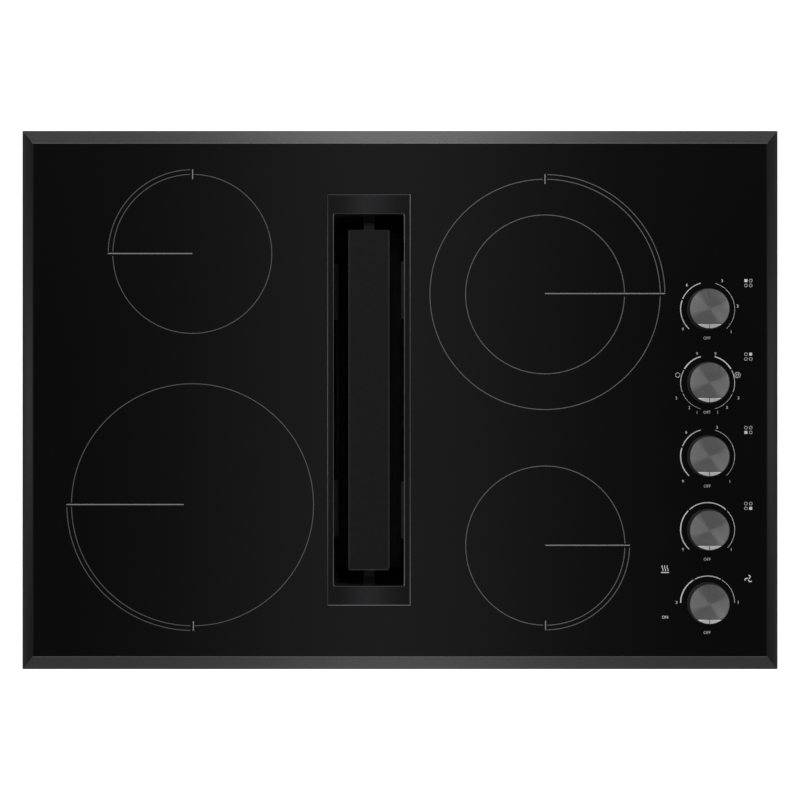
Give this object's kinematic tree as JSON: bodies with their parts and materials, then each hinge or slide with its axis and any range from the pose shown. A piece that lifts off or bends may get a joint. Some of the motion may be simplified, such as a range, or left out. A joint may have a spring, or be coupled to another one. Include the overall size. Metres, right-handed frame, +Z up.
{
  "type": "downdraft cooktop",
  "caption": "Built-in electric glass cooktop with a downdraft vent slot, a lift-off cover and filter, side control knobs and a blower hung below.",
  "frame": {"origin": "middle of the outline in plan, on the countertop under the foam seal", "axes": "+X to the right along the front edge, +Y to the rear, +Z up out of the countertop"},
  "size_m": [0.7836, 0.5586, 0.4811],
  "materials": {
    "black_glass": "polished",
    "black_trim": "black anodised",
    "seal": "foam",
    "silicone": "satin",
    "vent_black": "satin",
    "zinc_sheet": "zinc coated",
    "filter_metal": "mesh",
    "pan_steel": "satin",
    "ceramic_fibre": "matte",
    "heater_alloy": "oxidised",
    "ceramic_body": "matte",
    "spring_steel": "satin",
    "switch_case": "matte",
    "lamp_lens": "clear",
    "shaft_steel": "ground",
    "knob_black": "satin",
    "knob_metal": "spun",
    "block_plastic": "matte",
    "motor_black": "satin",
    "wheel_metal": "zinc coated",
    "can_metal": "drawn",
    "screw_steel": "zinc plated"
  },
  "bodies": {
    "cooktop": {"glass_top": "black_glass", "trim_front": "black_trim", "trim_rear": "black_trim", "trim_left": "black_trim", "trim_right": "black_trim", "counter_seal": "seal", "glass_adhesive": "silicone", "vent_trim": "vent_black", "burner_box": "zinc_sheet", "vent_chamber": "zinc_sheet", "element_pan_rear_left": "pan_steel", "element_pan_front_left": "pan_steel", "element_pan_rear_right": "pan_steel", "element_pan_front_right": "pan_steel", "element_insulation": "ceramic_fibre", "heater_ribbons": "heater_alloy", "heat_limiters": "ceramic_body", "element_rails": "zinc_sheet", "element_springs": "spring_steel", "switch_bracket": "zinc_sheet", "heat_switches": "switch_case", "fan_switch": "switch_case", "indicator_lights": "lamp_lens", "supply_box": "zinc_sheet", "supply_cover": "zinc_sheet", "terminal_block": "block_plastic", "blower_housing": "zinc_sheet", "inlet_ring": "zinc_sheet", "motor_plate": "zinc_sheet", "blower_motor": "motor_black", "run_capacitor": "can_metal", "duct_collar": "zinc_sheet", "hold_down_brackets": "zinc_sheet", "clamp_screws": "screw_steel", "screws": "screw_steel"},
    "cover": {"vent_cover": "vent_black"},
    "filter": {"filter_frame": "filter_metal", "filter_mesh": "filter_metal"},
    "rotor": {"motor_shaft": "shaft_steel", "blower_wheel": "wheel_metal"},
    "rear_left_cam": {"cam_rear_left": "switch_case"},
    "rear_left_knob": {"shaft_rear_left": "shaft_steel", "knob_rear_left": "knob_black", "knob_cap_rear_left": "knob_metal"},
    "rear_right_cam": {"cam_rear_right": "switch_case"},
    "rear_right_knob": {"shaft_rear_right": "shaft_steel", "knob_rear_right": "knob_black", "knob_cap_rear_right": "knob_metal"},
    "front_left_cam": {"cam_front_left": "switch_case"},
    "front_left_knob": {"shaft_front_left": "shaft_steel", "knob_front_left": "knob_black", "knob_cap_front_left": "knob_metal"},
    "front_right_cam": {"cam_front_right": "switch_case"},
    "front_right_knob": {"shaft_front_right": "shaft_steel", "knob_front_right": "knob_black", "knob_cap_front_right": "knob_metal"},
    "fan_cam": {"cam_fan": "switch_case"},
    "fan_knob": {"shaft_fan": "shaft_steel", "knob_fan": "knob_black", "knob_cap_fan": "knob_metal"}
  },
  "joints": [
    {"name": "rear_left_turn", "type": "hinge", "parent": "cooktop", "child": "rear_left_cam", "pos_m": [0.3188, 0.094, -0.0223], "axis": [0, 0, -1], "continuous": true},
    {"name": "rear_left_push", "type": "slide", "parent": "rear_left_cam", "child": "rear_left_knob", "axis": [0, 0, -1], "range_m": [0, 0.0025], "stiffness_N_per_m": 500, "springref_m": -0.004},
    {"name": "rear_right_turn", "type": "hinge", "parent": "cooktop", "child": "rear_right_cam", "pos_m": [0.3188, 0.0179, -0.0223], "axis": [0, 0, -1], "range_deg": [-165, 165]},
    {"name": "rear_right_push", "type": "slide", "parent": "rear_right_cam", "child": "rear_right_knob", "axis": [0, 0, -1], "range_m": [0, 0.0025], "stiffness_N_per_m": 500, "springref_m": -0.004},
    {"name": "front_left_turn", "type": "hinge", "parent": "cooktop", "child": "front_left_cam", "pos_m": [0.3188, -0.0582, -0.0223], "axis": [0, 0, -1], "continuous": true},
    {"name": "front_left_push", "type": "slide", "parent": "front_left_cam", "child": "front_left_knob", "axis": [0, 0, -1], "range_m": [0, 0.0025], "stiffness_N_per_m": 500, "springref_m": -0.004},
    {"name": "front_right_turn", "type": "hinge", "parent": "cooktop", "child": "front_right_cam", "pos_m": [0.3188, -0.1343, -0.0223], "axis": [0, 0, -1], "continuous": true},
    {"name": "front_right_push", "type": "slide", "parent": "front_right_cam", "child": "front_right_knob", "axis": [0, 0, -1], "range_m": [0, 0.0025], "stiffness_N_per_m": 500, "springref_m": -0.004},
    {"name": "fan_turn", "type": "hinge", "parent": "cooktop", "child": "fan_cam", "pos_m": [0.3188, -0.2104, -0.0223], "axis": [0, 0, -1], "range_deg": [0, 270]},
    {"name": "fan_push", "type": "slide", "parent": "fan_cam", "child": "fan_knob", "axis": [0, 0, -1], "range_m": [0, 0.0025], "stiffness_N_per_m": 500, "springref_m": -0.004},
    {"name": "cover_lift", "type": "slide", "parent": "cooktop", "child": "cover", "axis": [0, 0, 1], "range_m": [0, 0.2]},
    {"name": "filter_lift", "type": "slide", "parent": "cooktop", "child": "filter", "axis": [0, 0, 1], "range_m": [0, 0.15]},
    {"name": "blower_spin", "type": "hinge", "parent": "cooktop", "child": "rotor", "pos_m": [0.0966, 0, -0.24], "axis": [1, 0, 0], "continuous": true}
  ],
  "couplings": [
    {"joint": "filter_lift", "follows": "cover_lift", "ratio": 0.75}
  ]
}
